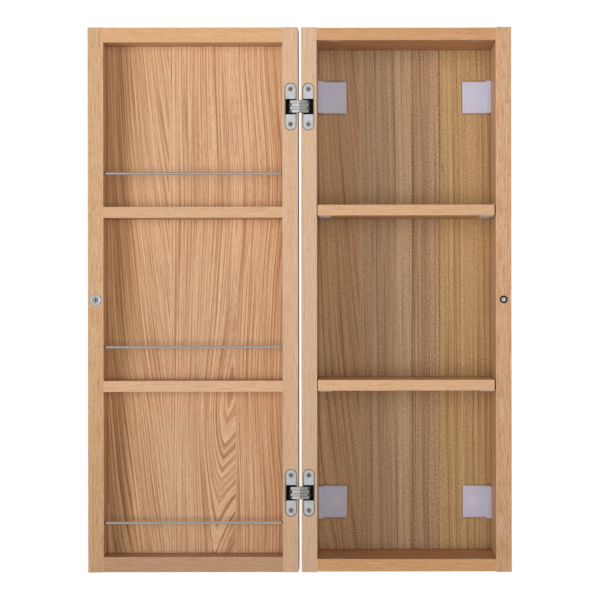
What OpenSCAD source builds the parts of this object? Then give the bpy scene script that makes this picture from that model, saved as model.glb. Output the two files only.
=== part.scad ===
// Wall-hung medicine cabinet with a shelved mirror door.
// Origin: middle of the four wall screws, in the wall plane. +X right, +Y into the wall, +Z up.
// The door is drawn swung fully open, beside the carcass, with its mirror towards the wall.

/* [Carcass] */
// Width of the carcass, and of the door
body_w = 270; // [250:1:320]
// Height of the carcass, and of the door
body_h = 700; // [680:1:760]
// Depth of the carcass, back panel included
body_d = 140; // [135:1:180]
// Thickness of the side boards and of the door's stiles
side_t = 20; // [20:0.5:21]
// Thickness of the top and bottom panels
cap_t = 16; // [16:0.5:18]
// Step from the side boards' ends to the top and bottom panels
cap_inset = 0.8; // [0:0.1:2]
// Thickness of the back panel
back_t = 10; // [8:0.5:12]

/* [Shelves] */
// Thickness of every shelf
shelf_t = 14; // [14:0.5:16]
// Height of the upper carcass shelf's middle
shelf_upper_z = 115.1; // [90:0.1:140]
// Height of the lower carcass shelf's middle
shelf_lower_z = -110; // [-140:0.1:-90]
// Height of the upper door shelf's middle
door_shelf_upper_z = 112.5; // [90:0.1:140]
// Height of the lower door shelf's middle
door_shelf_lower_z = -111.1; // [-140:0.1:-90]

/* [Door] */
// Depth from the door's open side to the front of its panel
door_shelf_d = 47; // [40:1:60]
// Thickness of the door's panel
panel_t = 12; // [9:0.5:15]
// Thickness of the door's top rail
rail_top_t = 19; // [16:0.5:22]
// Thickness of the door's bottom rail
rail_bottom_t = 19.5; // [16:0.5:22]
// Step from the stiles' ends to the rails
rail_inset = 0.3; // [0:0.1:1]
// Thickness of the mounting tape behind the mirror
tape_t = 1; // [0.5:0.1:2]
// Thickness of the mirror glass
mirror_t = 4; // [3:0.5:6]
// Radius of a guard rod
rod_r = 1.9; // [1.5:0.1:3]
// Height of each guard rod's middle above the surface under it
rod_above = 43.3; // [30:0.1:65]

/* [Hinges] */
// Gap between door and carcass when the door is closed
closed_gap = 2; // [2:0.1:3]
// Gap between door and carcass when the door is fully open
open_gap = 4; // [4:0.1:5]
// Height of each hinge's middle above and below the cabinet's middle
hinge_z = 248; // [200:1:260]
// Length of a hinge cup's face
leaf_l = 60; // [60:0.5:62]
// Width of a hinge cup's face
leaf_w = 14; // [14:0.1:14.4]

/* [Wall fixing] */
// Distance from a side board to the wall screw beside it
fix_in = 24; // [20:1:28]
// Height of the wall screws above and below the middle
fix_z = 269; // [260:1:275]
// Radius of a wall screw's hole
fix_r = 2.75; // [2:0.05:3]

/* [Hidden] */
$fn = 64;

half_w = body_w / 2;
half_h = body_h / 2;
front_y = -body_d;
inner_x = half_w - side_t;
cap_z = half_h - cap_inset - cap_t;
cap_mid_z = cap_z + cap_t / 2;

// the hinges' shared vertical axis, and the door's place when open
axis_x = -half_w - open_gap / 2;
axis_y = front_y - closed_gap / 2;
door_x1 = axis_x - open_gap / 2;
door_x0 = door_x1 - body_w;
door_mid_x = (door_x0 + door_x1) / 2;
panel_y0 = front_y + door_shelf_d;
panel_y1 = panel_y0 + panel_t;
rail_top_z = half_h - rail_inset - rail_top_t;
rail_bottom_z = -half_h + rail_inset + rail_bottom_t;

// carcass joinery
cam_in = 25;
cam_back = [15, 110];
cam_r = 7.5;
cam_bore_d = 12.5;
cam_cap_r = 8.5;
cam_cap_t = 0.8;
bolt_hole_r = 4;
bolt_thread_r = 2.45;
bolt_thread_l = 11;
dowel_r = 4;
dowel_play = 0.05;
dowel_back = [45, 88];
dowel_in_side = 12;
dowel_in_cap = 18;

// shelves: their middles' heights, and the gap between a carcass shelf and each side board, left and right
shelf_z = [shelf_upper_z, shelf_lower_z];
door_shelf_z = [door_shelf_upper_z, door_shelf_lower_z];
shelf_gap = [0.8, 1.5];

// shelf connectors: a housing let into the shelf's underside, which hooks over a stud in the side board
connector_back = [15, 94];
conn_l = 16.5;
conn_w = 14;
conn_h = 9.2;
conn_proud = 1.2;
conn_end = 1.2;
stud_z = 4.2;
stud_r = 2.4;
stud_head_r = 3.2;
stud_in = 9;
stud_out = 9.5;
shelf_front = front_y + 1;
shelf_back = -back_t - 1;

// hangers
flange_t = 2;
flange_h = 36;
flange_in = 35;
flange_out = 17;
cover_h = 43;
cover_in = 38;
cover_block_w = 6.8;
cover_block_d = 18.5;
cover_plate_d = 4.5;
cover_bevel = 1.5;
cover_wall = 1.4;
hanger_screw_y = -back_t - 10;
hanger_screw_dz = 11;

// guard rods: one above the upper shelf, the lower shelf and the bottom rail
rod_z = [door_shelf_upper_z + shelf_t / 2 + rod_above, door_shelf_lower_z + shelf_t / 2 + rod_above,
         rail_bottom_z + rod_above];
rod_back = 8;
rod_in = 6;
rod_play = 0.1;

// door joinery
rail_mid_z = [rail_top_z + rail_top_t / 2, rail_bottom_z - rail_bottom_t / 2];
pin_dowel_r = 3;
pin_dowel_in = 14;
rail_dowel_back = [15, 44];
shelf_dowel_back = [12, 35];
mirror_inset = 1;
tape_w = 20;
tape_l = 640;
tape_x = [-105, 0, 105];

// catch
magnet_r = 2.85;
magnet_housing_r = 5;
magnet_proud = 0.5;
magnet_in = 13;
strike_r = 7;
strike_t = 1.3;
strike_recess = 0.8;
strike_head_r = 4.25;
strike_screw_r = 1.6;
strike_play = 0.05;

// hinge cups, seen from the hinge's own axis: +X away from the gap, +Y into the board
wood_y = closed_gap / 2;
leaf_y = wood_y + 0.6;
leaf_t = 1.6;
leaf_x = open_gap / 2 + side_t / 2 - 0.6;
cup_h = 23;
cup_d = 18.6;
pocket_w = 13;
pocket_h = 20;
pocket_d = 17;
mortise_play = 0.6;
leaf_screw_z = 22.6;
leaf_screw_r = 1.7;
leaf_head_r = 3.3;
leaf_screw_l = 18;

// hinge arms: pivot, knee, centre, knee and tail of one arm, about the hinge's axis with the door open
arm_pivot = [7.1, 6.6];
arm_centre = [0, -1.5];
arm_line = [arm_pivot, [10, -1.1], arm_centre, [-9, -1.1], [-11.6, 3]];
arm_half = 1.45;
arm_end_r = 1.6;
arm_ridge = 0.9;
arm_t = 3.7;
arm_pitch = 3.95;
stack_top = 1.5 * arm_pitch + arm_t / 2;
pin_r = 0.9;
pin_play = 0.05;
rivet_r = 1.3;
rivet_h = 0.5;
cross_w = 0.8;

// ---- helpers ----

module box(lo, hi) {
    translate(lo) cube(hi - lo);
}

module rod_x(x0, x1, y, z, r) {
    translate([x0, y, z]) rotate([0, 90, 0]) cylinder(h = x1 - x0, r = r);
}

module rod_y(y0, y1, x, z, r) {
    translate([x, y0, z]) rotate([-90, 0, 0]) cylinder(h = y1 - y0, r = r);
}

// draws its children on the right and, mirrored, on the left
module both_sides() {
    children();
    mirror([1, 0, 0]) children();
}

module both_ends() {
    children();
    mirror([0, 0, 1]) children();
}

// a cross recess in a screw head at the origin, cut along +Z from the face
module cross_recess(size, depth) {
    for (turn = [0, 90])
        rotate([0, 0, turn]) translate([-size / 2, -cross_w / 2, -0.01]) cube([size, cross_w, depth]);
}

// a countersunk wood screw along +Z, its head's face at the origin
module countersunk_screw(head_r, shank_r, length) {
    difference() {
        union() {
            cylinder(h = head_r - shank_r, r1 = head_r, r2 = shank_r);
            cylinder(h = length, r = shank_r);
        }
        cross_recess(head_r * 1.15, 1.2);
    }
}

// ---- carcass boards ----

module cap_joint_holes() {
    for (back = cam_back)
        rod_x(inner_x - 0.01, inner_x + bolt_thread_l + 1, front_y + back, cap_mid_z,
              bolt_thread_r + dowel_play);
    for (back = dowel_back)
        rod_x(inner_x - 0.01, inner_x + dowel_in_side + 0.5, front_y + back, cap_mid_z, dowel_r + dowel_play);
}

// holes in a side board's inner face, for the right-hand board
module side_holes() {
    both_ends() cap_joint_holes();
    for (z = shelf_z, back = connector_back)
        rod_x(inner_x - 0.01, inner_x + stud_in + 0.5, shelf_front + back,
              z - shelf_t / 2 + stud_z, stud_r + dowel_play);
    both_ends() for (dz = [-hanger_screw_dz, hanger_screw_dz])
        rod_x(inner_x - 0.01, inner_x + 13, hanger_screw_y, fix_z + dz, 1.65);
}

module carcass_side_left() {
    color("burlywood") difference() {
        box([-half_w, front_y, -half_h], [-inner_x, 0, half_h]);
        mirror([1, 0, 0]) side_holes();
        at_hinges() hinge_mortise();
    }
}

module carcass_side_right() {
    color("burlywood") difference() {
        box([inner_x, front_y, -half_h], [half_w, 0, half_h]);
        side_holes();
        rod_y(front_y - 0.01, front_y + magnet_in + 0.5, half_w - side_t / 2, 0, magnet_housing_r + 0.05);
    }
}

module cap_panel() {
    difference() {
        box([-inner_x, front_y, cap_z], [inner_x, 0, cap_z + cap_t]);
        both_sides() {
            for (back = cam_back) {
                translate([inner_x - cam_in, front_y + back, cap_z - 0.01])
                    cylinder(h = cam_bore_d + 0.01, r = cam_r + 0.05);
                rod_x(inner_x - cam_in, inner_x + 0.01, front_y + back, cap_mid_z, bolt_hole_r);
            }
            for (back = dowel_back)
                rod_x(inner_x - dowel_in_cap - 0.5, inner_x + 0.01, front_y + back, cap_mid_z,
                      dowel_r + dowel_play);
        }
    }
}

module carcass_top() {
    color("peru") cap_panel();
}

module carcass_bottom() {
    color("peru") mirror([0, 0, 1]) cap_panel();
}

module carcass_back_panel() {
    color("tan") difference() {
        box([-inner_x, -back_t, -cap_z], [inner_x, 0, cap_z]);
        both_sides() both_ends() rod_y(-back_t - 0.01, 0.01, inner_x - fix_in, fix_z, fix_r);
    }
}

// the pocket for one connector at the right-hand end of a shelf whose end is at x
module connector_pocket(x, y, z) {
    box([x - conn_end - conn_l, y - conn_w / 2, z - 0.01], [x - conn_end, y + conn_w / 2, z + conn_h + 0.3]);
    box([x - conn_end - 0.01, y - stud_head_r - 0.4, z - 0.01],
        [x + 0.01, y + stud_head_r + 0.4, z + stud_z + stud_head_r + 0.5]);
}

module carcass_shelf(z) {
    x0 = -inner_x + shelf_gap[0];
    x1 = inner_x - shelf_gap[1];
    difference() {
        box([x0, shelf_front, z - shelf_t / 2], [x1, shelf_back, z + shelf_t / 2]);
        for (back = connector_back) {
            connector_pocket(x1, shelf_front + back, z - shelf_t / 2);
            mirror([1, 0, 0]) connector_pocket(-x0, shelf_front + back, z - shelf_t / 2);
        }
    }
}

module carcass_shelf_upper() {
    color("burlywood") carcass_shelf(shelf_z[0]);
}

module carcass_shelf_lower() {
    color("burlywood") carcass_shelf(shelf_z[1]);
}

// ---- carcass fittings ----

module at_cams() {
    both_sides() both_ends() for (back = cam_back)
        translate([inner_x - cam_in, front_y + back, cap_z]) children();
}

module cam_locks() {
    color("silver") at_cams() difference() {
        translate([0, 0, 0.3]) cylinder(h = cam_bore_d - 0.5, r = cam_r);
        cylinder(h = 2, r = 3.2);
        rod_x(-4, cam_r + 1, 0, cap_t / 2, 3.8);
    }
}

module cam_bolts() {
    color("lightsteelblue") at_cams() {
        rod_x(-2.5, 1, 0, cap_t / 2, 3.5);
        rod_x(0.9, 3.2, 0, cap_t / 2, 2);
        rod_x(3.1, cam_in, 0, cap_t / 2, 3);
        rod_x(cam_in - 0.1, cam_in + bolt_thread_l, 0, cap_t / 2, bolt_thread_r);
    }
}

module cam_cover_caps() {
    color("rosybrown") at_cams() {
        translate([0, 0, -cam_cap_t]) cylinder(h = cam_cap_t, r = cam_cap_r);
        translate([0, 0, -0.1]) cylinder(h = 1.6, r = 3);
    }
}

module carcass_dowels() {
    color("wheat") both_sides() both_ends() for (back = dowel_back)
        rod_x(inner_x - dowel_in_cap, inner_x + dowel_in_side, front_y + back, cap_mid_z, dowel_r);
}

// one connector housing at the right-hand end of a shelf
module connector(x, y, z) {
    difference() {
        box([x - conn_end - conn_l, y - conn_w / 2, z - conn_proud],
            [x - conn_end, y + conn_w / 2, z + conn_h]);
        box([x - conn_end - 8.5, y - stud_head_r - 0.3, z - conn_proud - 0.01],
            [x - conn_end + 0.01, y + stud_head_r + 0.3, z + stud_z + stud_head_r + 0.3]);
    }
}

module shelf_connectors() {
    color("thistle") for (z = shelf_z, back = connector_back) {
        connector(inner_x - shelf_gap[1], shelf_front + back, z - shelf_t / 2);
        mirror([1, 0, 0]) connector(inner_x - shelf_gap[0], shelf_front + back, z - shelf_t / 2);
    }
}

module shelf_studs() {
    color("silver") both_sides() for (z = shelf_z, back = connector_back) {
        y = shelf_front + back;
        stud_mid_z = z - shelf_t / 2 + stud_z;
        rod_x(inner_x - stud_out + 1, inner_x + stud_in, y, stud_mid_z, stud_r);
        rod_x(inner_x - stud_out, inner_x - stud_out + 2, y, stud_mid_z, stud_head_r);
    }
}

// ---- wall hangers, drawn for the upper right corner ----

module hanger_bracket() {
    color("lightgray") difference() {
        union() {
            box([inner_x - flange_t, -back_t - flange_out, fix_z - flange_h / 2],
                [inner_x, -back_t, fix_z + flange_h / 2]);
            box([inner_x - flange_in, -back_t - flange_t, fix_z - flange_h / 2],
                [inner_x, -back_t, fix_z + flange_h / 2]);
        }
        rod_y(-back_t - flange_t - 0.01, -back_t + 0.01, inner_x - fix_in, fix_z, fix_r);
        for (dz = [-hanger_screw_dz, hanger_screw_dz])
            rod_x(inner_x - flange_t - 0.01, inner_x + 0.01, hanger_screw_y, fix_z + dz, 1.8);
    }
}

// the cover's outline in plan, set in by w
module cover_plan(w) {
    x0 = inner_x - cover_in + w;
    xb = inner_x - cover_block_w + w;
    x1 = inner_x - 0.1;
    y1 = -back_t - 0.1;
    yp = -back_t - cover_plate_d + w;
    yb = -back_t - cover_block_d + w;
    bevel = w > 0 ? 0 : cover_bevel;
    polygon([[x0, y1], [x0, yp + bevel], [x0 + bevel, yp], [xb, yp],
             [xb, yb + bevel / 2], [xb + bevel / 2, yb], [x1, yb], [x1, y1]]);
}

// the cover's outline from the side: bevelled top and bottom edges on the plate and on the block
module cover_side() {
    half = cover_h / 2;
    yp = -back_t - cover_plate_d;
    yb = -back_t - cover_block_d;
    polygon([[-back_t, -half], [yp + cover_bevel, -half], [yb + cover_bevel / 2, -half],
             [yb, -half + cover_bevel / 2], [yb, half - cover_bevel / 2], [yb + cover_bevel / 2, half],
             [-back_t, half]]);
}

module hanger_cover() {
    color("lavender") difference() {
        intersection() {
            translate([0, 0, fix_z - cover_h / 2]) linear_extrude(cover_h) cover_plan(0);
            translate([inner_x - cover_in - 1, 0, fix_z]) rotate([90, 0, 90])
                linear_extrude(cover_in + 2) cover_side();
        }
        plate_end_bevels();
        translate([0, 0, fix_z - cover_h / 2 + cover_wall + 0.3])
            linear_extrude(cover_h - 2 * cover_wall - 0.6) cover_plan(cover_wall);
    }
}

// slanted cuts that bevel the plate's top and bottom edges
module plate_end_bevels() {
    y = -back_t - cover_plate_d;
    x0 = inner_x - cover_in - 1;
    for (s = [-1, 1])
        translate([x0, y, fix_z + s * cover_h / 2]) rotate([45, 0, 0])
            translate([0, -cover_bevel / sqrt(2), -cover_bevel / sqrt(2)])
                cube([cover_in + 1 - cover_block_w, cover_bevel * sqrt(2), cover_bevel * sqrt(2)]);
}

module hanger_bracket_upper_left() { mirror([1, 0, 0]) hanger_bracket(); }
module hanger_bracket_upper_right() { hanger_bracket(); }
module hanger_bracket_lower_left() { mirror([0, 0, 1]) mirror([1, 0, 0]) hanger_bracket(); }
module hanger_bracket_lower_right() { mirror([0, 0, 1]) hanger_bracket(); }
module hanger_cover_upper_left() { mirror([1, 0, 0]) hanger_cover(); }
module hanger_cover_upper_right() { hanger_cover(); }
module hanger_cover_lower_left() { mirror([0, 0, 1]) mirror([1, 0, 0]) hanger_cover(); }
module hanger_cover_lower_right() { mirror([0, 0, 1]) hanger_cover(); }

module bracket_screws() {
    head_h = 1.6;
    color("silver") both_sides() both_ends() for (dz = [-hanger_screw_dz, hanger_screw_dz])
        translate([inner_x - flange_t - head_h, hanger_screw_y, fix_z + dz]) rotate([0, 90, 0]) difference() {
            union() {
                cylinder(h = head_h, r = 3.3);
                cylinder(h = head_h + flange_t + 12, r = 1.6);
            }
            cross_recess(3.4, 1);
        }
}

// ---- magnetic catch ----

module magnet_housing() {
    x = half_w - side_t / 2;
    color("dimgray") difference() {
        rod_y(front_y - magnet_proud, front_y + magnet_in, x, 0, magnet_housing_r);
        rod_y(front_y - magnet_proud - 0.01, front_y + magnet_in - 3, x, 0, magnet_r + 0.02);
    }
}

module magnet() {
    color("gainsboro")
        rod_y(front_y - magnet_proud + 0.1, front_y + magnet_in - 3, half_w - side_t / 2, 0, magnet_r);
}

module strike_plate() {
    color("gainsboro") difference() {
        rod_y(front_y + strike_recess - strike_t, front_y + strike_recess, door_x0 + side_t / 2, 0, strike_r);
        translate([door_x0 + side_t / 2, front_y + strike_recess - strike_t - 0.01, 0])
            strike_countersink(strike_head_r);
    }
}

// room for the strike screw's cone from where its radius is r, along +Y
module strike_countersink(r) {
    rotate([-90, 0, 0])
        cylinder(h = r - strike_screw_r, r1 = r + strike_play, r2 = strike_screw_r + strike_play);
}

module strike_screw() {
    color("silver")
    translate([door_x0 + side_t / 2, front_y + strike_recess - strike_t, 0])
    rotate([-90, 0, 0])
        countersunk_screw(strike_head_r, strike_screw_r, 17);
}

// ---- hinges ----

// draws its children about the axis of the upper hinge (s = 1) or the lower one (s = -1)
module at_hinge(s) {
    translate([axis_x, axis_y, s * hinge_z]) children();
}

module at_hinges() {
    for (s = [-1, 1]) at_hinge(s) children();
}

// a plate with round ends, standing on its end, from y0 to y1
module long_round_plate(length, width, y0, y1) {
    r = width / 2;
    box([leaf_x - r, y0, -length / 2 + r], [leaf_x + r, y1, length / 2 - r]);
    for (s = [-1, 1]) rod_y(y0, y1, leaf_x, s * (length / 2 - r), r);
}

module hinge_mortise() {
    long_round_plate(leaf_l + 2 * mortise_play, leaf_w + 2 * mortise_play,
                     wood_y - 0.01, leaf_y + leaf_t + 0.1);
    box([leaf_x - leaf_w / 2 - mortise_play, wood_y, -cup_h / 2 - mortise_play],
        [leaf_x + leaf_w / 2 + mortise_play, wood_y + cup_d + mortise_play, cup_h / 2 + mortise_play]);
    for (s = [-1, 1])
        rod_y(wood_y, leaf_y + leaf_screw_l + 1, leaf_x, s * leaf_screw_z, leaf_screw_r + 0.05);
}

module hinge_cup() {
    color("lightsteelblue") difference() {
        union() {
            long_round_plate(leaf_l, leaf_w, leaf_y, leaf_y + leaf_t);
            box([leaf_x - leaf_w / 2, leaf_y, -cup_h / 2], [leaf_x + leaf_w / 2, wood_y + cup_d, cup_h / 2]);
        }
        box([leaf_x - pocket_w / 2, wood_y - 0.01, -pocket_h / 2],
            [leaf_x + pocket_w / 2, wood_y + pocket_d, pocket_h / 2]);
        translate([arm_pivot[0], arm_pivot[1], -cup_h / 2 - 1]) cylinder(h = cup_h + 2, r = pin_r + 0.03);
        for (s = [-1, 1]) translate([leaf_x, leaf_y, s * leaf_screw_z]) rotate([-90, 0, 0]) {
            translate([0, 0, -0.01]) cylinder(h = 1.61, r1 = leaf_head_r + 0.11, r2 = leaf_head_r - 1.5);
            cylinder(h = leaf_t + 0.01, r = leaf_screw_r + 0.1);
        }
    }
}

module leaf_screws() {
    color("silver") for (s = [-1, 1]) translate([leaf_x, leaf_y, s * leaf_screw_z]) rotate([-90, 0, 0])
        countersunk_screw(leaf_head_r, leaf_screw_r, leaf_screw_l);
}

module pivot_pin() {
    color("gray") translate([arm_pivot[0], arm_pivot[1], -cup_h / 2 + 0.3])
        cylinder(h = cup_h - 0.6, r = pin_r);
}

function unit(v) = v / norm(v);
function left_of(v) = [-v[1], v[0]];

// the arm's edge at a distance w to the left of its line, with mitred knees
function arm_edge(w) = let (last = len(arm_line) - 1) [for (i = [0:last])
    let (before = left_of(unit(arm_line[max(i, 1)] - arm_line[max(i, 1) - 1])),
         after = left_of(unit(arm_line[min(i, last - 1) + 1] - arm_line[min(i, last - 1)])),
         middle = unit(before + after))
    arm_line[i] + middle * w / (middle * before)];

// one arm plate, lying flat with its underside at z = 0; its outer edge rises to a ridge over the centre
module arm_plate() {
    last = len(arm_line) - 1;
    outer = [for (i = [0:last]) arm_edge(arm_half)[i] - (i == 2 ? [0, arm_ridge] : [0, 0])];
    difference() {
        union() {
            linear_extrude(arm_t)
                polygon(concat(outer, [for (i = [last:-1:0]) arm_edge(-arm_half)[i]]));
            for (end = [arm_line[0], arm_line[last]])
                translate([end[0], end[1], 0]) cylinder(h = arm_t, r = arm_end_r);
        }
        translate([arm_pivot[0], arm_pivot[1], -1]) cylinder(h = arm_t + 2, r = pin_r + pin_play);
    }
}

// the arms at the given layers of the stack, counted from the lowest, with a rivet head at one end of it
module arms(layers, rivet_z) {
    for (i = layers) translate([0, 0, (i - 1.5) * arm_pitch - arm_t / 2]) arm_plate();
    translate([arm_centre[0], arm_centre[1], rivet_z]) cylinder(h = rivet_h + 0.1, r = rivet_r);
}

module hinge_arms_a() { color("gray") arms([0, 2], -stack_top - rivet_h); }
module hinge_arms_b() { color("gray") mirror([1, 0, 0]) arms([1, 3], stack_top - 0.1); }

module hinge_cup_carcass_upper() { at_hinge(1) hinge_cup(); }
module hinge_cup_carcass_lower() { at_hinge(-1) hinge_cup(); }
module hinge_cup_door_upper() { at_hinge(1) mirror([1, 0, 0]) hinge_cup(); }
module hinge_cup_door_lower() { at_hinge(-1) mirror([1, 0, 0]) hinge_cup(); }
module hinge_screws_carcass() { at_hinges() leaf_screws(); }
module hinge_screws_door() { at_hinges() mirror([1, 0, 0]) leaf_screws(); }
module hinge_pins_carcass() { at_hinges() pivot_pin(); }
module hinge_pins_door() { at_hinges() mirror([1, 0, 0]) pivot_pin(); }
module hinge_arms_a_upper() { at_hinge(1) hinge_arms_a(); }
module hinge_arms_a_lower() { at_hinge(-1) hinge_arms_a(); }
module hinge_arms_b_upper() { at_hinge(1) hinge_arms_b(); }
module hinge_arms_b_lower() { at_hinge(-1) hinge_arms_b(); }

// ---- door ----

// a guard rod from stile to stile; grown, it cuts the rod's holes in both stiles
module rod_through(grow, z) {
    rod_x(door_x0 + side_t - rod_in - grow, door_x1 - side_t + rod_in + grow,
          front_y + rod_back, z, rod_r + grow);
}

// the dowels of the rails and shelves; grown, they cut their own holes
module door_dowel_set(grow) {
    for (x = [door_x0 + side_t, door_x1 - side_t]) {
        for (z = rail_mid_z, back = rail_dowel_back)
            rod_x(x - pin_dowel_in - grow, x + pin_dowel_in + grow, front_y + back, z, pin_dowel_r + grow);
        for (z = door_shelf_z, back = shelf_dowel_back)
            rod_x(x - pin_dowel_in - grow, x + pin_dowel_in + grow, front_y + back, z, pin_dowel_r + grow);
    }
}

module door_stile_hinge() {
    color("burlywood") difference() {
        box([door_x1 - side_t, front_y, -half_h], [door_x1, panel_y1, half_h]);
        door_dowel_set(dowel_play);
        for (z = rod_z) rod_through(rod_play, z);
        at_hinges() mirror([1, 0, 0]) hinge_mortise();
    }
}

module door_stile_catch() {
    x = door_x0 + side_t / 2;
    color("burlywood") difference() {
        box([door_x0, front_y, -half_h], [door_x0 + side_t, panel_y1, half_h]);
        door_dowel_set(dowel_play);
        for (z = rod_z) rod_through(rod_play, z);
        rod_y(front_y - 0.01, front_y + strike_recess, x, 0, strike_r + 0.1);
        rod_y(front_y, front_y + 18, x, 0, strike_screw_r + strike_play);
        translate([x, front_y + strike_recess - 0.01, 0]) strike_countersink(strike_head_r - strike_t);
    }
}

// a board between the stiles
module door_board(y1, z0, z1) {
    difference() {
        box([door_x0 + side_t, front_y, z0], [door_x1 - side_t, y1, z1]);
        door_dowel_set(dowel_play);
    }
}

module door_rail_top() {
    color("peru") door_board(panel_y1, rail_top_z, rail_top_z + rail_top_t);
}

module door_rail_bottom() {
    color("peru") door_board(panel_y1, rail_bottom_z - rail_bottom_t, rail_bottom_z);
}

module door_shelf_upper() {
    color("burlywood") door_board(panel_y0, door_shelf_z[0] - shelf_t / 2, door_shelf_z[0] + shelf_t / 2);
}

module door_shelf_lower() {
    color("burlywood") door_board(panel_y0, door_shelf_z[1] - shelf_t / 2, door_shelf_z[1] + shelf_t / 2);
}

module door_panel() {
    color("tan") box([door_x0 + side_t, panel_y0, rail_bottom_z], [door_x1 - side_t, panel_y1, rail_top_z]);
}

module door_dowels() {
    color("wheat") door_dowel_set(0);
}

module guard_rod_upper() { color("silver") rod_through(0, rod_z[0]); }
module guard_rod_middle() { color("silver") rod_through(0, rod_z[1]); }
module guard_rod_lower() { color("silver") rod_through(0, rod_z[2]); }

module mirror_tape() {
    color("dimgray") for (dx = tape_x)
        box([door_mid_x + dx - tape_w / 2, panel_y1, -tape_l / 2],
            [door_mid_x + dx + tape_w / 2, panel_y1 + tape_t, tape_l / 2]);
}

module mirror_glass() {
    color("lightcyan")
        box([door_x0 + mirror_inset, panel_y1 + tape_t, -half_h + mirror_inset],
            [door_x1 - mirror_inset, panel_y1 + tape_t + mirror_t, half_h - mirror_inset]);
}

// ---- the nodes ----

carcass_side_left();
carcass_side_right();
carcass_top();
carcass_bottom();
carcass_back_panel();
carcass_shelf_upper();
carcass_shelf_lower();
cam_locks();
cam_bolts();
cam_cover_caps();
carcass_dowels();
shelf_connectors();
shelf_studs();
hanger_bracket_upper_left();
hanger_bracket_upper_right();
hanger_bracket_lower_left();
hanger_bracket_lower_right();
hanger_cover_upper_left();
hanger_cover_upper_right();
hanger_cover_lower_left();
hanger_cover_lower_right();
bracket_screws();
magnet_housing();
magnet();
hinge_cup_carcass_upper();
hinge_cup_carcass_lower();
hinge_screws_carcass();
hinge_pins_carcass();
door_stile_hinge();
door_stile_catch();
door_rail_top();
door_rail_bottom();
door_panel();
door_shelf_upper();
door_shelf_lower();
guard_rod_upper();
guard_rod_middle();
guard_rod_lower();
door_dowels();
mirror_glass();
mirror_tape();
strike_plate();
strike_screw();
hinge_cup_door_upper();
hinge_cup_door_lower();
hinge_screws_door();
hinge_pins_door();
hinge_arms_a_upper();
hinge_arms_a_lower();
hinge_arms_b_upper();
hinge_arms_b_lower();
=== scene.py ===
"""Looks for the wall-hung oak medicine cabinet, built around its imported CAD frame. Metres throughout."""
import math

import bpy
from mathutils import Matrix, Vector


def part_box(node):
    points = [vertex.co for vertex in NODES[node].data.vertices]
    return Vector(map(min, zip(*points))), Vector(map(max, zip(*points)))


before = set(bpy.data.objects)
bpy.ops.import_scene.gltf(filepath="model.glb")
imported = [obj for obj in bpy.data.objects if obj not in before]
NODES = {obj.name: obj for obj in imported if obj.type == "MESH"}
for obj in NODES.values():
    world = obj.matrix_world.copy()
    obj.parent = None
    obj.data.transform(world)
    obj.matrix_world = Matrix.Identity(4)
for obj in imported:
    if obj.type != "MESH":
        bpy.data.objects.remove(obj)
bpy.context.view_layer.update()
MM = 0.001


# ---------------------------------------------------------------- node graphs

def srgb(red, green, blue):
    """An sRGB colour in 0 to 255 as the linear RGBA that a shader takes."""
    def linear(value):
        value /= 255
        return value / 12.92 if value <= 0.04045 else ((value + 0.055) / 1.055) ** 2.4
    return (linear(red), linear(green), linear(blue), 1.0)


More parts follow.
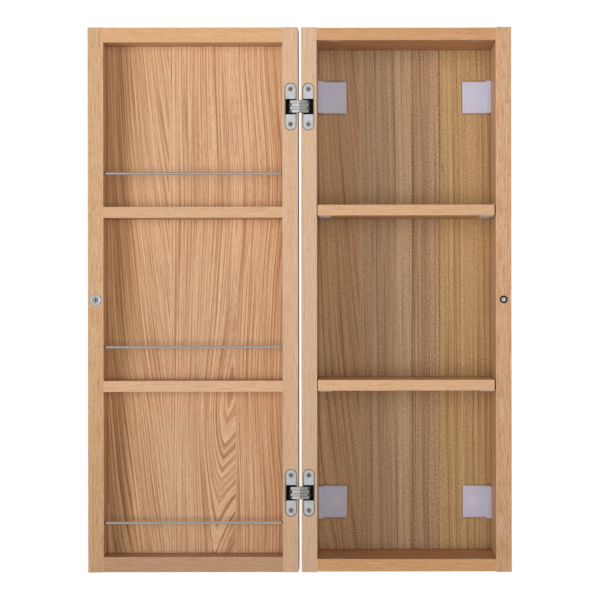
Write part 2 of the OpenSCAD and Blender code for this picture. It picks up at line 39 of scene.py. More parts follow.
class Graph:
    """A material and short calls that add nodes to it. A value can be a number or a socket."""

    def __init__(self, name, **shader):
        self.material = bpy.data.materials.new(name)
        self.material.use_nodes = True
        self.nodes = self.material.node_tree.nodes
        self.links = self.material.node_tree.links
        self.shader = self.nodes["Principled BSDF"]
        for socket, value in shader.items():
            self.shader.inputs[socket.replace("_", " ")].default_value = value

    def put(self, socket, value):
        if isinstance(value, bpy.types.NodeSocket):
            self.links.new(value, socket)
        else:
            socket.default_value = value

    def surface(self, socket, value):
        self.put(self.shader.inputs[socket], value)

    def place(self):
        """The point's x, y and z in the CAD frame at rest, as three sockets. They ride with the part."""
        coordinates = self.nodes.new("ShaderNodeTexCoord")
        split = self.nodes.new("ShaderNodeSeparateXYZ")
        self.links.new(coordinates.outputs["Object"], split.inputs[0])
        return split.outputs[0], split.outputs[1], split.outputs[2]

    def math(self, operation, first, second=0.0, clamp=False):
        node = self.nodes.new("ShaderNodeMath")
        node.operation = operation
        node.use_clamp = clamp
        self.put(node.inputs[0], first)
        self.put(node.inputs[1], second)
        return node.outputs[0]

    def add(self, *values):
        total = values[0]
        for value in values[1:]:
            total = self.math("ADD", total, value)
        return total

    def times(self, first, second):
        return self.math("MULTIPLY", first, second)

    def vector(self, x, y, z):
        node = self.nodes.new("ShaderNodeCombineXYZ")
        for socket, value in zip(node.inputs, (x, y, z)):
            self.put(socket, value)
        return node.outputs[0]

    def noise(self, vector, scale, detail, roughness):
        """Noise from 0 to 1, with its middle at 0.5."""
        node = self.nodes.new("ShaderNodeTexNoise")
        self.links.new(vector, node.inputs["Vector"])
        node.inputs["Scale"].default_value = scale
        node.inputs["Detail"].default_value = detail
        node.inputs["Roughness"].default_value = roughness
        return node.outputs["Fac"]

    def stretched(self, x, y, z, detail=2.0, roughness=0.5):
        """Noise from 0 to 1 whose grain is one unit wide in the given, already scaled x, y and z."""
        return self.noise(self.vector(x, y, z), 1.0, detail, roughness)

    def ramp(self, value, stops, curve="LINEAR"):
        """A curve of grey through (place, height) stops, or of colour through (place, colour) stops."""
        node = self.nodes.new("ShaderNodeValToRGB")
        node.color_ramp.interpolation = curve
        self.put(node.inputs[0], value)
        elements = node.color_ramp.elements
        while len(elements) < len(stops):
            elements.new(1.0)
        for element, (place, colour) in zip(elements, stops):
            element.position = place
            element.color = colour if isinstance(colour, tuple) else (colour, colour, colour, 1.0)
        return node.outputs[0]

    def mix(self, factor, first, second, blend="MIX"):
        node = self.nodes.new("ShaderNodeMix")
        node.data_type = "RGBA"
        node.blend_type = blend
        self.put(node.inputs[0], factor)
        self.put(node.inputs[6], first)
        self.put(node.inputs[7], second)
        return node.outputs[2]

    def painted_crevice_shade(self, colour, reach, dark=(0.090, 0.040, 0.014, 1.0), most=0.66, start=0.54, end=0.90):
        """Darkens a colour with painted shade in narrow joints and inner corners, within reach of the next
        surface.
        """
        node = self.nodes.new("ShaderNodeAmbientOcclusion")
        node.samples = 6
        node.inputs["Distance"].default_value = reach
        return self.mix(self.ramp(node.outputs["AO"], [(start, most), (end, 0.0)]), colour, dark)

    def painted_edge_highlight(self, colour, light, radius, most):
        """Lightens a colour with a painted highlight along its edges, where a rounded arris catches the
        light.
        """
        rounded = self.nodes.new("ShaderNodeBevel")
        rounded.samples = 4
        rounded.inputs["Radius"].default_value = radius
        flat = self.nodes.new("ShaderNodeNewGeometry")
        dot = self.nodes.new("ShaderNodeVectorMath")
        dot.operation = "DOT_PRODUCT"
        self.links.new(rounded.outputs[0], dot.inputs[0])
        self.links.new(flat.outputs["True Normal"], dot.inputs[1])
        return self.mix(self.ramp(dot.outputs["Value"], [(0.80, most), (0.985, 0.0)]), colour, light)

    def bump(self, height, distance, strength):
        node = self.nodes.new("ShaderNodeBump")
        node.inputs["Strength"].default_value = strength
        node.inputs["Distance"].default_value = distance
        self.links.new(height, node.inputs["Height"])
        self.links.new(node.outputs[0], self.shader.inputs["Normal"])


# ---------------------------------------------------------------- oak

def grain_axes(graph, along):
    """(across, depth, along) sockets for boards whose grain runs along z or along x."""
    x, y, z = graph.place()
    return (x, y, z) if along == "z" else (z, y, x)


def lighter(colour, share):
    """A colour moved a share of the way to white."""
    return tuple(channel + (1.0 - channel) * share for channel in colour[:3]) + (1.0,)


def fibres(graph, across, depth, along, seed, fine=900.0, reach=34.0):
    """(streaks, pores): lengthwise streaks about a millimetre wide, and short dark pore dashes, from 0 to 1.
    fine and reach are the streaks' grains per metre across the board and along it."""
    pore_fine, pore_reach = 1050.0, 130.0
    streaks = graph.stretched(graph.times(across, fine), graph.times(depth, fine),
                              graph.add(graph.times(along, reach), seed), roughness=0.6)
    dashes = graph.stretched(graph.times(across, pore_fine), graph.times(depth, pore_fine),
                             graph.add(graph.times(along, pore_reach), seed + 7.0), detail=1.0)
    return streaks, graph.ramp(dashes, [(0.52, 0.0), (0.68, 1.0)])


def fibre_tones(graph, colour, streaks, light, deep, strength):
    """Lightens the fibres between the streaks and darkens the streaks."""
    colour = graph.mix(graph.ramp(streaks, [(0.30, 0.80 * strength), (0.50, 0.0)]), colour, light)
    return graph.mix(graph.ramp(streaks, [(0.50, 0.0), (0.70, 0.85 * strength)]), colour, deep)


def board_oak(name, along, pale, mid, deep, seed, contrast):
    """Plain oak for boards: quiet straight grain whose lines run at a slant through the board's depth."""
    graph = Graph(name, Roughness=0.5, IOR=1.45)
    across, depth, length = grain_axes(graph, along)
    ring_gap, slant, most_sway = 3 * MM, 0.62, 11 * MM
    sway = graph.stretched(graph.times(across, 14.0), graph.times(depth, 14.0),
                           graph.add(graph.times(length, 2.2), seed))
    place = graph.add(across, graph.times(depth, slant), graph.times(sway, most_sway))
    rings = graph.stretched(graph.times(place, 1 / ring_gap), graph.times(length, 2.0), seed, 3.0, 0.62)
    streaks, pores = fibres(graph, place, depth, length, seed)
    colour = graph.mix(graph.ramp(rings, [(0.34, 0.0), (0.62, 0.60 * contrast)]), pale, mid)
    colour = graph.mix(graph.ramp(rings, [(0.58, 0.0), (0.76, 0.25 * contrast)]), colour, deep)
    colour = fibre_tones(graph, colour, streaks, lighter(pale, 0.24), deep, 0.70 * contrast)
    colour = graph.mix(graph.times(pores, 0.42 * contrast), colour, deep)
    # painted highlight along the rounded edges, then painted shade in narrow joints and inner corners
    colour = graph.painted_edge_highlight(colour, lighter(pale, 0.2), 1.0 * MM, 0.6)
    graph.surface("Base Color", graph.painted_crevice_shade(colour, 1.6 * MM))
    graph.surface("Roughness", graph.ramp(streaks, [(0.2, 0.44), (0.8, 0.58)]))
    graph.bump(graph.add(graph.times(streaks, 0.6), graph.times(pores, -0.7)), 0.06 * MM, 0.7)
    return graph.material


def growth_lines(graph, place, z, spacing, profile, seed):
    """1 on a growth line and 0 between lines, which stand about one spacing apart along place. profile is the
    curve from one line to the next."""
    jitter = graph.stretched(graph.times(place, 42.0), graph.times(z, 0.7), seed)
    phase = graph.math("FRACT", graph.add(graph.times(place, 1 / spacing), graph.times(jitter, 2.6)))
    strength = graph.stretched(graph.times(place, 130.0), seed + 5.0, graph.times(z, 4.0))
    return graph.times(graph.ramp(phase, profile), graph.ramp(strength, [(0.30, 0.22), (0.68, 1.0)]))


def eye_pull(graph, x, z, ripple, middle):
    """How far an eye in the veneer moves its growth lines, in metres. It bends them into nested V shapes. The
    points of the Vs lie on a slanted axis through x = middle, and their arms are longer on its left."""
    height, tilt = -137 * MM, 0.095
    half_width, half_height, most = 40 * MM, 90 * MM, 14 * MM
    widening, fade, fold = 0.70, 25 * MM, 1.30
    off = graph.add(x, graph.times(z, -tilt), tilt * height - middle)
    right = graph.math("MAXIMUM", off, 0.0)
    left = graph.math("SUBTRACT", right, off)
    side = graph.times(left, 1 / half_width)
    rise = graph.times(graph.add(z, -height, graph.times(ripple, 10 * MM)), 1 / half_height)
    away = graph.add(graph.times(side, side), graph.times(rise, rise))
    near = graph.math("EXPONENT", graph.times(away, -1.0))
    slack = graph.times(left, graph.times(graph.math("EXPONENT", graph.times(left, -1 / fade)), widening))
    return graph.add(graph.times(near, most), slack, graph.times(right, -fold))


def figured_oak(name, corner, width, pale, mid, deep, seed):
    """Light oak veneer in three strips: leaning lines on the left; in the middle, lines that bend round an
    eye, cut by the joint beside it; and nearly straight lines on the right."""
    graph = Graph(name, Roughness=0.48, IOR=1.45)
    x, y, z = graph.place()
    part = graph.times(graph.add(x, -corner), 1 / width)
    lean = graph.ramp(part, [(0.0, 0.35), (0.14, 0.80), (0.30, 1.0), (0.358, 1.0), (0.360, 0.0), (1.0, 0.0)])
    loose = graph.ramp(part, [(0.0, 0.12), (0.50, 0.16), (0.80, 1.0), (1.0, 1.0)], "B_SPLINE")
    middle_strip = graph.ramp(part, [(0.0, 1.0), (0.729, 1.0), (0.731, 0.0), (1.0, 0.0)])
    slope, most_sway, most_ripple, spacing = 0.135, 60 * MM, 2.4 * MM, 4.4 * MM
    sway = graph.stretched(graph.times(x, 5.0), seed, graph.times(z, 3.4), detail=1.0)
    ripple = graph.stretched(graph.times(x, 30.0), seed + 2.0, graph.times(z, 7.0), detail=1.0)
    eye = graph.times(eye_pull(graph, x, z, ripple, corner + 0.687 * width), middle_strip)
    place = graph.add(x, graph.times(graph.times(lean, z), slope),
                      graph.times(graph.times(graph.math("SUBTRACT", sway, 0.5), loose), most_sway),
                      graph.times(ripple, most_ripple), eye)
    line = growth_lines(graph, place, z, spacing, [
        (0.0, 1.0), (0.14, 0.60), (0.28, 0.14), (0.60, 0.0), (0.86, 0.12), (1.0, 1.0)], seed)
    streaks, pores = fibres(graph, place, y, z, seed, 820.0, 6.0)
    broad = graph.stretched(graph.times(place, 26.0), seed + 9.0, graph.times(z, 1.5), roughness=0.55)
    colour = graph.mix(graph.ramp(broad, [(0.32, 0.0), (0.70, 0.40)]), pale, mid)
    colour = graph.mix(graph.ramp(part, [(0.70, 0.0), (1.0, 0.65)]), colour, mid)
    # painted shadow: the panel's left side is painted darker and browner, for the shadow of the left stile
    stile_shadow = graph.ramp(part, [
        (0.0, (0.80, 0.76, 0.60, 1.0)), (0.16, (0.87, 0.82, 0.67, 1.0)), (0.30, (1.0, 1.0, 1.0, 1.0))])
    colour = graph.mix(1.0, colour, stile_shadow, "MULTIPLY")
    colour = graph.mix(graph.times(line, 0.72), colour, deep)
    colour = fibre_tones(graph, colour, streaks, srgb(239, 203, 162), deep, 1.1)
    colour = graph.mix(graph.times(pores, graph.add(0.26, graph.times(line, 0.5))), colour, deep)
    joint = graph.ramp(part, [(0.354, 0.0), (0.3575, 0.45), (0.3600, 0.45), (0.3635, 0.0)])
    colour = graph.mix(joint, colour, srgb(240, 206, 166))
    # painted shade in narrow joints and inner corners
    graph.surface("Base Color", graph.painted_crevice_shade(colour, 2.5 * MM))
    graph.surface("Roughness", graph.ramp(line, [(0.0, 0.44), (1.0, 0.60)]))
    graph.bump(graph.add(graph.times(pores, -0.6), graph.times(line, -0.5), graph.times(streaks, 0.3)),
               0.07 * MM, 0.8)
    return graph.material


# tones of the back panel's veneer strips, from its left edge (0) to its right edge (1); the left strips are
# also painted lighter, as painted light against the shadow of the left side wall
STRIPS = [
    (0.00, srgb(214, 175, 131)), (0.12, srgb(207, 167, 124)), (0.225, srgb(209, 168, 125)),
    (0.245, srgb(207, 177, 139)), (0.35, srgb(200, 171, 135)), (0.37, srgb(176, 146, 112)),
    (0.43, srgb(178, 148, 112)), (0.45, srgb(193, 163, 126)), (0.54, srgb(190, 159, 122)),
    (0.555, srgb(166, 130, 97)), (0.635, srgb(168, 132, 99)), (0.65, srgb(190, 152, 120)),
    (0.695, srgb(194, 157, 122)), (0.71, srgb(209, 173, 116)), (0.86, srgb(211, 175, 118)),
    (1.00, srgb(205, 168, 114))]


def pin_knots(graph, x, z, spots, radius):
    """1 on each small knot and 0 elsewhere, for spots given as (x, z)."""
    marks = 0.0
    for spot_x, spot_z in spots:
        side = graph.times(graph.add(x, -spot_x), 1 / radius)
        rise = graph.times(graph.add(z, -spot_z), 1 / radius)
        away = graph.add(graph.times(side, side), graph.times(rise, rise))
        marks = graph.add(marks, graph.math("EXPONENT", graph.times(away, -1.0)))
    return marks


def strip_veneer(name, corner, width, seed):
    """Veneer of straight strips of unlike tone: dark joints between some, and thin growth lines far apart."""
    graph = Graph(name, Roughness=0.5, IOR=1.45)
    x, y, z = graph.place()
    part = graph.times(graph.add(x, -corner), 1 / width)
    lean = graph.ramp(part, [(0.0, 0.30), (0.10, 0.75), (0.238, 1.0), (0.242, 0.10), (1.0, 0.10)])
    slope, most_sway, most_ripple, spacing = 0.11, 8 * MM, 2 * MM, 8.4 * MM
    sway = graph.stretched(graph.times(x, 3.0), seed, graph.times(z, 2.0), detail=1.0)
    ripple = graph.stretched(graph.times(x, 30.0), seed, graph.times(z, 9.0))
    drift = graph.add(graph.times(graph.math("SUBTRACT", sway, 0.5), most_sway),
                      graph.times(graph.math("SUBTRACT", ripple, 0.5), most_ripple))
    place = graph.add(x, graph.times(graph.times(lean, z), slope), drift)
    strip = graph.times(graph.add(x, graph.times(drift, 0.5), -corner), 1 / width)
    tone = graph.ramp(strip, STRIPS)
    line = growth_lines(graph, place, z, spacing, [
        (0.0, 1.0), (0.05, 0.55), (0.13, 0.16), (0.40, 0.0), (0.90, 0.10), (0.96, 0.7), (1.0, 1.0)], seed)
    stripe = graph.stretched(graph.times(place, 125.0), seed + 1.0, graph.times(z, 0.4))
    joints = graph.ramp(strip, [
        (0.0, 0.0), (0.537, 0.0), (0.545, 0.9), (0.553, 0.0),
        (0.692, 0.0), (0.699, 0.9), (0.706, 0.0), (1.0, 0.0)])
    seam = graph.ramp(strip, [(0.236, 0.0), (0.243, 0.7), (0.252, 0.0)])
    speckle = graph.stretched(graph.times(x, 980.0), seed + 8.0, graph.times(z, 520.0), detail=1.0)
    ripples = graph.ramp(strip, [
        (0.0, 0.50), (0.62, 0.45), (0.66, 0.9), (0.69, 0.9), (0.71, 0.45), (1.0, 0.45)])
    streaks, pores = fibres(graph, place, y, z, seed, 620.0, 5.0)
    shade, light = srgb(116, 78, 46), srgb(216, 188, 148)
    colour = graph.mix(graph.ramp(stripe, [(0.48, 0.0), (0.72, 0.34)]), tone, shade)
    colour = graph.mix(graph.ramp(stripe, [(0.28, 0.34), (0.48, 0.0)]), colour, light)
    colour = graph.mix(graph.times(line, 0.95), colour, shade)
    colour = graph.mix(seam, colour, light)
    colour = graph.mix(joints, colour, srgb(84, 54, 34))
    colour = fibre_tones(graph, colour, streaks, light, shade, 0.55)
    colour = graph.mix(graph.times(graph.ramp(speckle, [(0.52, 0.0), (0.66, 1.0)]), ripples), colour, light)
    colour = graph.mix(graph.ramp(speckle, [(0.34, 0.60), (0.48, 0.0)]), colour, shade)
    colour = graph.mix(graph.times(pores, 0.18), colour, shade)
    knot_x = corner + 0.716 * width
    knots = pin_knots(graph, x, z, [(knot_x, 0.1780), (knot_x + 1 * MM, 0.1725)], 0.9 * MM)
    colour = graph.mix(knots, colour, srgb(70, 38, 20))
    # painted shade in narrow joints and inner corners
    graph.surface("Base Color", graph.painted_crevice_shade(colour, 2.5 * MM))
    graph.surface("Roughness", graph.ramp(stripe, [(0.3, 0.46), (0.7, 0.58)]))
    graph.bump(graph.add(graph.times(pores, -0.5), graph.times(line, -0.4), graph.times(streaks, 0.3)),
               0.06 * MM, 0.7)
    return graph.material


# ---------------------------------------------------------------- metals and plastics

def metal(name, colour, roughness, grain=None, grit=0.0, metallic=1.0, pocket_shade_depth=None, crevice_shade_start=0.64,
          stain=0.65):
    """A metal. grain stretches fine brush marks along x, y or z; grit adds a cast or blasted texture; stain
    is the strength of dull patches. Behind the depth given after metallic it is painted dark, as painted
    shade deep in a pocket. The next argument, nearer to 1, widens a line of painted shade where it meets
    another surface."""
    graph = Graph(name, Metallic=metallic)
    x, y, z = graph.place()
    fast, slow = 4200.0, 90.0
    scales = {axis: slow if axis == grain else fast for axis in "xyz"}
    brushed = graph.stretched(graph.times(x, scales["x"]), graph.times(y, scales["y"]),
                              graph.times(z, scales["z"]), roughness=0.6)
    blotch = graph.noise(graph.vector(x, y, z), 260.0, 3.0, 0.6)
    pits = graph.noise(graph.vector(x, y, z), 1900.0, 2.0, 0.7)
    dull = tuple(channel * 0.72 for channel in colour[:3]) + (1.0,)
    shade = graph.mix(graph.ramp(blotch, [(0.35, 0.0), (0.70, stain)]), colour, dull)
    # painted shade: past the given depth the colour is painted dark, for the shade deep in a pocket
    if pocket_shade_depth is not None:
        pocket_shade_mask = graph.math("MULTIPLY", graph.add(y, -pocket_shade_depth), 1 / (1.5 * MM), clamp=True)
        shade = graph.mix(pocket_shade_mask, shade, srgb(44, 42, 40))
    # painted shade in a dark line along joints and inner corners
    graph.surface("Base Color", graph.painted_crevice_shade(shade, 2.5 * MM, srgb(14, 13, 13), 0.97, crevice_shade_start, 1.0))
    graph.surface("Roughness", graph.add(roughness - 0.08, graph.times(blotch, 0.10),
                                         graph.times(brushed, 0.08)))
    graph.bump(graph.add(graph.times(brushed, 0.5), graph.times(pits, grit)), 0.03 * MM, 0.6)
    return graph.material


def plastic(name, colour, roughness, see_through=0.0, edge_highlight_share=0.5):
    """Moulded plastic with a faint spark-eroded texture and slight clouding. Along its edges it carries a
    painted highlight, whiter by the share given as its last argument."""
    graph = Graph(name, Roughness=roughness, IOR=1.49, Subsurface_Weight=see_through)
    graph.shader.inputs["Subsurface Radius"].default_value = (1.0, 0.8, 0.9)
    graph.shader.inputs["Subsurface Scale"].default_value = 2 * MM
    x, y, z = graph.place()
    cloud = graph.noise(graph.vector(x, y, z), 95.0, 3.0, 0.5)
    grit = graph.noise(graph.vector(x, y, z), 3600.0, 2.0, 0.6)
    deeper = tuple(channel * 0.90 for channel in colour[:3]) + (1.0,)
    clouded = graph.mix(cloud, colour, deeper)
    # painted highlight along the edges
    graph.surface("Base Color", graph.painted_edge_highlight(clouded, lighter(colour, edge_highlight_share), 0.7 * MM, 0.7))
    graph.surface("Roughness", graph.add(roughness - 0.05, graph.times(cloud, 0.10)))
    graph.bump(grit, 0.02 * MM, 0.5)
    return graph


def cover_plastic(name, colour, painted_highlight):
    """The hanger covers: plastic with a painted highlight, a paler round spot over each wall screw, palest on
    the lower two.
    """
    graph = plastic(name, colour, 0.42, 0.25)
    x, _, z = graph.place()
    # painted highlight: a pale round spot over each wall screw, stronger on the lower covers
    screw_x, screw_z, spot_radius = 91 * MM, 269 * MM, 11 * MM
    across = graph.math("SUBTRACT", graph.math("ABSOLUTE", x), screw_x)
    up = graph.math("SUBTRACT", graph.math("ABSOLUTE", z), screw_z)
    away = graph.math("SQRT", graph.add(graph.times(across, across), graph.times(up, up)))
    spot = graph.ramp(graph.times(away, 1 / spot_radius), [(0.15, 1.0), (0.95, 0.0)])
    lower = graph.ramp(graph.times(z, -4.0), [(0.0, 0.3), (0.2, 1.0)])
    base = graph.shader.inputs["Base Color"].links[0].from_socket
    graph.surface("Base Color", graph.mix(graph.times(spot, graph.times(lower, 0.55)), base, painted_highlight))
    return graph.material


def mirror_silver(name):
    """Silvered glass, with faint cleaning haze."""
    graph = Graph(name, Metallic=1.0, Coat_Weight=1.0, Coat_Roughness=0.01)
    x, y, z = graph.place()
    haze = graph.noise(graph.vector(x, y, z), 14.0, 4.0, 0.6)
    graph.surface("Base Color", graph.mix(haze, srgb(238, 243, 242), srgb(226, 234, 232)))
    graph.surface("Roughness", graph.ramp(haze, [(0.3, 0.005), (0.8, 0.035)]))
    return graph.material


# ---------------------------------------------------------------- finishing the CAD nodes

def finish_node(node, material, bevel=0.0):
    """Gives a CAD node its material and, with modifiers only, merged faces and rounded edges."""
    piece = NODES[node]
    piece.data.materials.clear()
    piece.data.materials.append(material)
    if not bevel:
        return
    weld = piece.modifiers.new("weld", "WELD")
    weld.merge_threshold = 0.002 * MM
    flat = piece.modifiers.new("flat", "DECIMATE")
    flat.decimate_type = "DISSOLVE"
    flat.angle_limit = math.radians(0.5)
    edge = piece.modifiers.new("edge", "BEVEL")
    edge.width = bevel
    edge.segments = 2
    edge.limit_method = "ANGLE"
    edge.angle_limit = math.radians(40)
    edge.miter_outer = "MITER_SHARP"
    edge.use_clamp_overlap = True
    edge.harden_normals = False


def finish_all(names, material, bevel=0.0):
    for name in names:
        finish_node(name, material, bevel)


ARRIS = 0.7 * MM
# node, the direction its grain runs in, its tones between and on the growth lines, and its grain's strength
BOARDS = [
    ("carcass_side_left", "z", srgb(224, 189, 158), srgb(212, 171, 136), 0.60),
    ("carcass_side_right", "z", srgb(226, 183, 141), srgb(212, 164, 119), 1.20),
    ("carcass_top", "x", srgb(215, 163, 114), srgb(199, 145, 95), 0.60),
    ("carcass_bottom", "x", srgb(225, 174, 120), srgb(205, 151, 97), 0.75),
    ("carcass_shelf_upper", "x", srgb(224, 181, 140), srgb(211, 164, 122), 0.55),
    ("carcass_shelf_lower", "x", srgb(232, 188, 146), srgb(221, 171, 128), 0.55),
    ("door_stile_hinge", "z", srgb(224, 187, 154), srgb(212, 170, 133), 0.60),
    ("door_stile_catch", "z", srgb(223, 181, 139), srgb(205, 157, 110), 1.0),
    ("door_rail_top", "x", srgb(227, 180, 132), srgb(213, 162, 111), 0.60),
    ("door_rail_bottom", "x", srgb(206, 165, 128), srgb(186, 143, 104), 0.75),
    ("door_shelf_upper", "x", srgb(225, 182, 144), srgb(212, 166, 126), 0.55),
    ("door_shelf_lower", "x", srgb(234, 191, 152), srgb(223, 176, 133), 0.55)]
DEEP = srgb(172, 122, 78)
for number, (board, grain, pale, mid, strength) in enumerate(BOARDS):
    seed = 7.3 * number + 3.1
    finish_node(board, board_oak("oak_" + board, grain, pale, mid, DEEP, seed, strength), ARRIS)

panel_lo, panel_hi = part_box("door_panel")
finish_node("door_panel", figured_oak("oak_door_panel", panel_lo.x, panel_hi.x - panel_lo.x,
                                      srgb(222, 184, 148), srgb(210, 160, 114), srgb(168, 106, 62), 5.0))
back_lo, back_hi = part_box("carcass_back_panel")
finish_node("carcass_back_panel", strip_veneer("oak_back_panel", back_lo.x, back_hi.x - back_lo.x, 2.0))

beech = board_oak("beech", "x", srgb(224, 194, 156), srgb(210, 176, 134), srgb(180, 140, 100), 71.0, 0.5)
finish_all(["carcass_dowels", "door_dowels"], beech)

cup_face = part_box("hinge_cup_carcass_upper")[0].y
# the cups are painted dark from 1 mm behind their face, as painted shade in their pockets
zinc = metal("cast_zinc", srgb(216, 221, 227), 0.5, grit=0.8, metallic=0.65, pocket_shade_depth=cup_face + 1 * MM,
             crevice_shade_start=0.82)
arm_steel = metal("arm_steel", srgb(190, 190, 190), 0.32, grain="x", grit=0.2, metallic=0.85)
bright_steel = metal("bright_steel", srgb(200, 203, 208), 0.22, grain="z")
screw_steel = metal("screw_steel", srgb(178, 171, 161), 0.42, grit=0.3, metallic=0.9)
rod_steel = metal("rod_steel", srgb(248, 249, 250), 0.22, grain="x", metallic=0.9, stain=0.2)
bracket_steel = metal("bracket_steel", srgb(184, 188, 194), 0.38, grain="z")
cam_zinc = metal("cam_zinc", srgb(186, 188, 192), 0.42, grit=0.7)
magnet_nickel = metal("magnet_nickel", srgb(214, 219, 224), 0.42, grit=0.5, metallic=0.6)
strike_nickel = metal("strike_nickel", srgb(198, 219, 240), 0.34, grit=0.4, metallic=0.75)

CUPS = ["hinge_cup_carcass_upper", "hinge_cup_carcass_lower", "hinge_cup_door_upper", "hinge_cup_door_lower"]
ARMS = ["hinge_arms_a_upper", "hinge_arms_a_lower", "hinge_arms_b_upper", "hinge_arms_b_lower"]
BRACKETS = [f"hanger_bracket_{level}_{side}" for level in ("upper", "lower") for side in ("left", "right")]
COVERS = [f"hanger_cover_{level}_{side}" for level in ("upper", "lower") for side in ("left", "right")]
RODS = ["guard_rod_upper", "guard_rod_middle", "guard_rod_lower"]
SCREWS = ["hinge_screws_carcass", "hinge_screws_door", "bracket_screws", "strike_screw"]
finish_all(CUPS, zinc, 0.25 * MM)
finish_all(ARMS, arm_steel, 0.3 * MM)
finish_all(["hinge_pins_carcass", "hinge_pins_door", "shelf_studs", "cam_bolts"], bright_steel)
finish_all(SCREWS, screw_steel, 0.1 * MM)
finish_all(RODS, rod_steel)
finish_all(BRACKETS, bracket_steel, 0.3 * MM)
finish_node("cam_locks", cam_zinc)
finish_node("magnet", magnet_nickel, 0.2 * MM)
finish_node("strike_plate", strike_nickel, 0.3 * MM)

connector = plastic("connector_plastic", srgb(206, 198, 208), 0.4, 0.1).material
cap = plastic("cap_plastic", srgb(190, 156, 126), 0.45).material
magnet_case = plastic("magnet_case", srgb(13, 13, 15), 0.45, edge_highlight_share=0.02).material
finish_all(COVERS, cover_plastic("cover_plastic", srgb(214, 218, 240), srgb(232, 232, 244)), 0.4 * MM)
finish_node("shelf_connectors", connector, 0.3 * MM)
finish_node("cam_cover_caps", cap, 0.25 * MM)
finish_node("magnet_housing", magnet_case, 0.25 * MM)
finish_node("mirror_glass", mirror_silver("mirror_silver"), 0.8 * MM)
finish_node("mirror_tape", plastic("tape_foam", srgb(70, 70, 74), 0.8).material)


# ---------------------------------------------------------------- camera, light and floor

EYE = (-0.060, -3.534, -0.0005)
# the middle of the picture across, and the plane of the cabinet's front edges
MIDDLE_X, FRONT_Y = -0.1366, -0.140
# both in millimetres, as cameras take them
LENS, SENSOR = 158.6, 36.0
# the point that the front lamps face
LIT = (-0.137, -0.14, 0.30)
STUDIO_WHITE = (1.0, 0.985, 0.975)


def add_camera():
    """Looks straight along +Y, so that the front edges stay parallel, and is shifted onto the cabinet."""
    data = bpy.data.cameras.new("camera")
    data.sensor_width = SENSOR
    data.lens = LENS
    reach = FRONT_Y - EYE[1]
    data.shift_x = (MIDDLE_X - EYE[0]) * LENS / (reach * SENSOR)
    camera = bpy.data.objects.new("camera", data)
    camera.location = EYE
    camera.rotation_euler = (math.radians(90.0), math.radians(0.08), 0.0)
    bpy.context.scene.collection.objects.link(camera)
    bpy.context.scene.camera = camera


def lamp_free(*nodes):
    """A collection that keeps the lamps off the given nodes, so that a mirror shows the room but no lamp."""
    spared = bpy.data.collections.new("lamp_free")
    for node in nodes:
        spared.objects.link(NODES[node])
    for member in spared.collection_objects:
        member.light_linking.link_state = "EXCLUDE"
    return spared


SPARED = lamp_free("mirror_glass")


def add_softbox(name, place, target, width, height, power, colour, spread, reflected=True):
    """An area light that faces a target. Its beam is spread degrees wide, and gloss can show it."""
    data = bpy.data.lights.new(name, "AREA")
    data.shape = "RECTANGLE"
    data.size, data.size_y = width, height
    data.energy = power
    data.color = colour
    data.spread = math.radians(spread)
    light = bpy.data.objects.new(name, data)
    light.location = place
    light.rotation_euler = (Vector(target) - Vector(place)).to_track_quat("-Z", "Y").to_euler()
    light.visible_glossy = reflected
    light.light_linking.receiver_collection = SPARED
    bpy.context.scene.collection.objects.link(light)


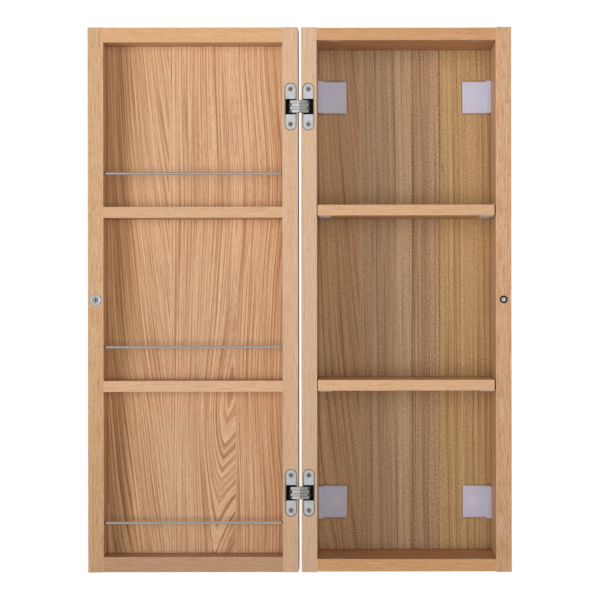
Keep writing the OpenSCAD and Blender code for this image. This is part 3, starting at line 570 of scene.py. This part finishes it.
def add_world():
    """White where the camera looks past the object. As light it is a soft warm grey, with a brighter wall
    straight in front for the mirror to show when the door is shut, and another behind."""
    world = bpy.data.worlds.new("studio")
    bpy.context.scene.world = world
    world.use_nodes = True
    tree = world.node_tree
    background = tree.nodes["Background"]
    way = tree.nodes.new("ShaderNodeTexCoord")
    split = tree.nodes.new("ShaderNodeSeparateXYZ")
    tree.links.new(way.outputs["Generated"], split.inputs[0])
    from_front = tree.nodes.new("ShaderNodeMapRange")
    from_front.inputs["From Min"].default_value = -1.0
    from_front.inputs["From Max"].default_value = 1.0
    tree.links.new(split.outputs[1], from_front.inputs["Value"])
    room = tree.nodes.new("ShaderNodeValToRGB")
    stops = [(0.0, 0.62), (0.012, 0.46), (0.05, 0.17), (0.40, 0.17), (0.56, 0.40), (1.0, 0.62)]
    while len(room.color_ramp.elements) < len(stops):
        room.color_ramp.elements.new(1.0)
    for element, (place, grey) in zip(room.color_ramp.elements, stops):
        element.position = place
        element.color = (grey, grey * 0.95, grey * 0.88, 1.0)
    tree.links.new(from_front.outputs["Result"], room.inputs[0])
    path = tree.nodes.new("ShaderNodeLightPath")
    colour = tree.nodes.new("ShaderNodeMix")
    colour.data_type = "RGBA"
    colour.inputs[7].default_value = (1.05, 1.05, 1.05, 1.0)
    tree.links.new(path.outputs["Is Camera Ray"], colour.inputs[0])
    tree.links.new(room.outputs[0], colour.inputs[6])
    tree.links.new(colour.outputs[2], background.inputs["Color"])


def add_floor():
    """A pale studio floor, below the camera's view."""
    level, left, right, near, far = -0.65, -3.0, 3.0, -4.5, 1.8
    mesh = bpy.data.meshes.new("floor")
    mesh.from_pydata([(left, near, level), (right, near, level), (right, far, level), (left, far, level)],
                     [], [(0, 1, 2, 3)])
    floor = bpy.data.objects.new("floor", mesh)
    bpy.context.scene.collection.objects.link(floor)
    graph = Graph("floor_paint", Roughness=0.75)
    x, y, z = graph.place()
    mottle = graph.noise(graph.vector(x, y, z), 3.0, 4.0, 0.5)
    graph.surface("Base Color", graph.mix(mottle, srgb(236, 235, 233), srgb(229, 228, 226)))
    mesh.materials.append(graph.material)


add_camera()
add_world()
add_floor()
add_softbox("key", (-1.95, -2.70, 0.14), LIT, 1.0, 1.8, 4.45, STUDIO_WHITE, 42.0)
add_softbox("front", (0.30, -3.90, 0.14), LIT, 1.2, 1.8, 2.5, STUDIO_WHITE, 42.0, reflected=False)
add_softbox("right", (1.65, -2.60, 0.14), LIT, 0.9, 1.8, 1.1, (1.0, 0.98, 0.96), 42.0)
add_softbox("back", (0.9, 3.0, 1.9), (-0.1, 0.4, -0.5), 2.4, 1.6, 22.0, (1.0, 0.985, 0.97), 120.0,
            reflected=False)
bpy.context.scene.view_settings.view_transform = "Standard"
bpy.context.scene.view_settings.look = "None"
